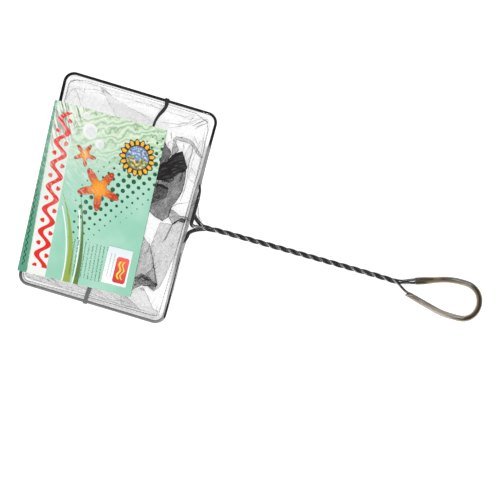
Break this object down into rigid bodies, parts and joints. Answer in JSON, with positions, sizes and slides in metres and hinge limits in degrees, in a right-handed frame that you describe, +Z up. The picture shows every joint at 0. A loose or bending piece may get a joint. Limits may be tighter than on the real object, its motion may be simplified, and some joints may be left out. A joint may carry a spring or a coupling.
{
  "type": "aquarium fish net",
  "caption": "Flat rectangular aquarium net: coated wire hoop with a sewn mesh bag, twisted wire handle, sleeved hanging loop and folded header card held by an elastic band.",
  "frame": {"origin": "middle of the hoop, on the surface that the net lies on, which is the underside of the card's back panel", "axes": "+X along the handle from the hoop to the hanging loop, +Y across the hoop towards the longer end of its top, +Z up, away from the surface"},
  "size_m": [0.5454, 0.2569, 0.0137],
  "materials": {
    "coated_wire": "satin black plastic coating",
    "smoky_vinyl": "translucent smoky vinyl",
    "black_mesh": "fine sheer knitted mesh",
    "sewing_thread": "spun thread",
    "green_card": "semi-gloss coated board",
    "white_label": "smooth paper",
    "black_elastic": "matt"
  },
  "bodies": {
    "root": {"hoop_wire": "coated_wire", "loop_wire": "coated_wire", "grip_sleeve": "smoky_vinyl", "bag_hem": "black_mesh", "net_bag": "black_mesh", "hem_thread": "sewing_thread", "header_card": "green_card", "size_label": "white_label", "elastic_band": "black_elastic"}
  },
  "joints": []
}
